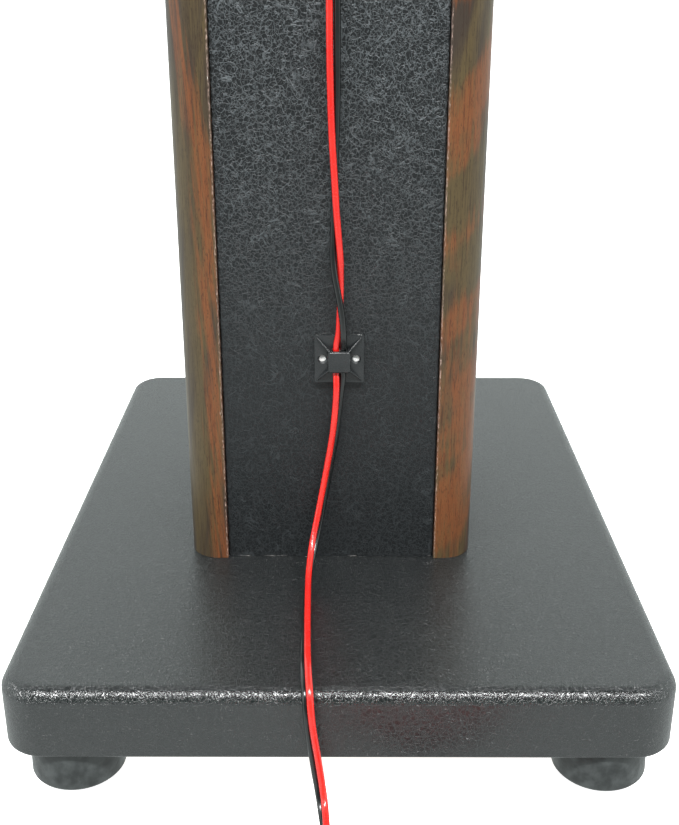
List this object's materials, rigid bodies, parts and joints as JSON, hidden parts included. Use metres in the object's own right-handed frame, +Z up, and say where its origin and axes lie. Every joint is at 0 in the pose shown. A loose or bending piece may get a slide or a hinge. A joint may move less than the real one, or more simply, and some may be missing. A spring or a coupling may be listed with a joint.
{
  "type": "speaker stand",
  "caption": "Free-standing speaker stand: wide base on rubber feet, boxed column with wood-grain side rails, small top board with pads, and a speaker lead held by tie mounts.",
  "frame": {"origin": "on the floor, under the middle of the base board", "axes": "+Z up; -Y is the rear side, where the speaker lead runs; +X is to the right when looking at the rear"},
  "size_m": [0.3, 0.5106, 0.7114],
  "materials": {
    "vinyl_wrap": "charcoal vinyl with a fine leather grain, satin",
    "wood_grain_film": "printed dark red wood-grain film, semi-gloss",
    "raw_board": "unfinished particle board",
    "foot_rubber": "moulded black rubber, satin",
    "pad_rubber": "soft black rubber, matt",
    "mount_nylon": "black moulded nylon",
    "mount_foam": "white adhesive foam",
    "lead_red_pvc": "glossy red insulation",
    "lead_black_pvc": "glossy black insulation",
    "copper_strand": "bare stranded copper",
    "tie_fabric": "black hook-and-loop tape",
    "black_steel": "black oxide steel",
    "zinc_steel": "bright zinc-plated steel",
    "insert_brass": "plain brass"
  },
  "bodies": {
    "root": {"base_board": "vinyl_wrap", "foot_rear_left": "foot_rubber", "foot_washer_rear_left": "zinc_steel", "foot_screw_rear_left": "zinc_steel", "foot_rear_right": "foot_rubber", "foot_washer_rear_right": "zinc_steel", "foot_screw_rear_right": "zinc_steel", "foot_front_left": "foot_rubber", "foot_washer_front_left": "zinc_steel", "foot_screw_front_left": "zinc_steel", "foot_front_right": "foot_rubber", "foot_washer_front_right": "zinc_steel", "foot_screw_front_right": "zinc_steel", "column_panel_rear": "vinyl_wrap", "column_panel_front": "vinyl_wrap", "side_rail_left": "wood_grain_film", "side_rail_right": "wood_grain_film", "column_block_bottom": "raw_board", "column_block_top": "raw_board", "base_washer_rear_left": "zinc_steel", "base_bolt_rear_left": "black_steel", "base_insert_rear_left": "insert_brass", "base_washer_rear_right": "zinc_steel", "base_bolt_rear_right": "black_steel", "base_insert_rear_right": "insert_brass", "base_washer_front_left": "zinc_steel", "base_bolt_front_left": "black_steel", "base_insert_front_left": "insert_brass", "base_washer_front_right": "zinc_steel", "base_bolt_front_right": "black_steel", "base_insert_front_right": "insert_brass", "top_board": "vinyl_wrap", "top_bolt_rear_left": "black_steel", "top_insert_rear_left": "insert_brass", "top_bolt_rear_right": "black_steel", "top_insert_rear_right": "insert_brass", "top_bolt_front_left": "black_steel", "top_insert_front_left": "insert_brass", "top_bolt_front_right": "black_steel", "top_insert_front_right": "insert_brass", "speaker_pad_rear_left": "pad_rubber", "speaker_pad_rear_right": "pad_rubber", "speaker_pad_front_left": "pad_rubber", "speaker_pad_front_right": "pad_rubber", "tie_mount_lower": "mount_nylon", "tie_mount_foam_lower": "mount_foam", "tie_mount_upper": "mount_nylon", "tie_mount_foam_upper": "mount_foam", "lead_red": "lead_red_pvc", "lead_coil_red": "lead_red_pvc", "lead_tip_red_top": "copper_strand", "lead_tip_red_floor": "copper_strand", "lead_black": "lead_black_pvc", "lead_coil_black": "lead_black_pvc", "lead_tip_black_top": "copper_strand", "lead_tip_black_floor": "copper_strand", "coil_tie": "tie_fabric"}
  },
  "joints": []
}
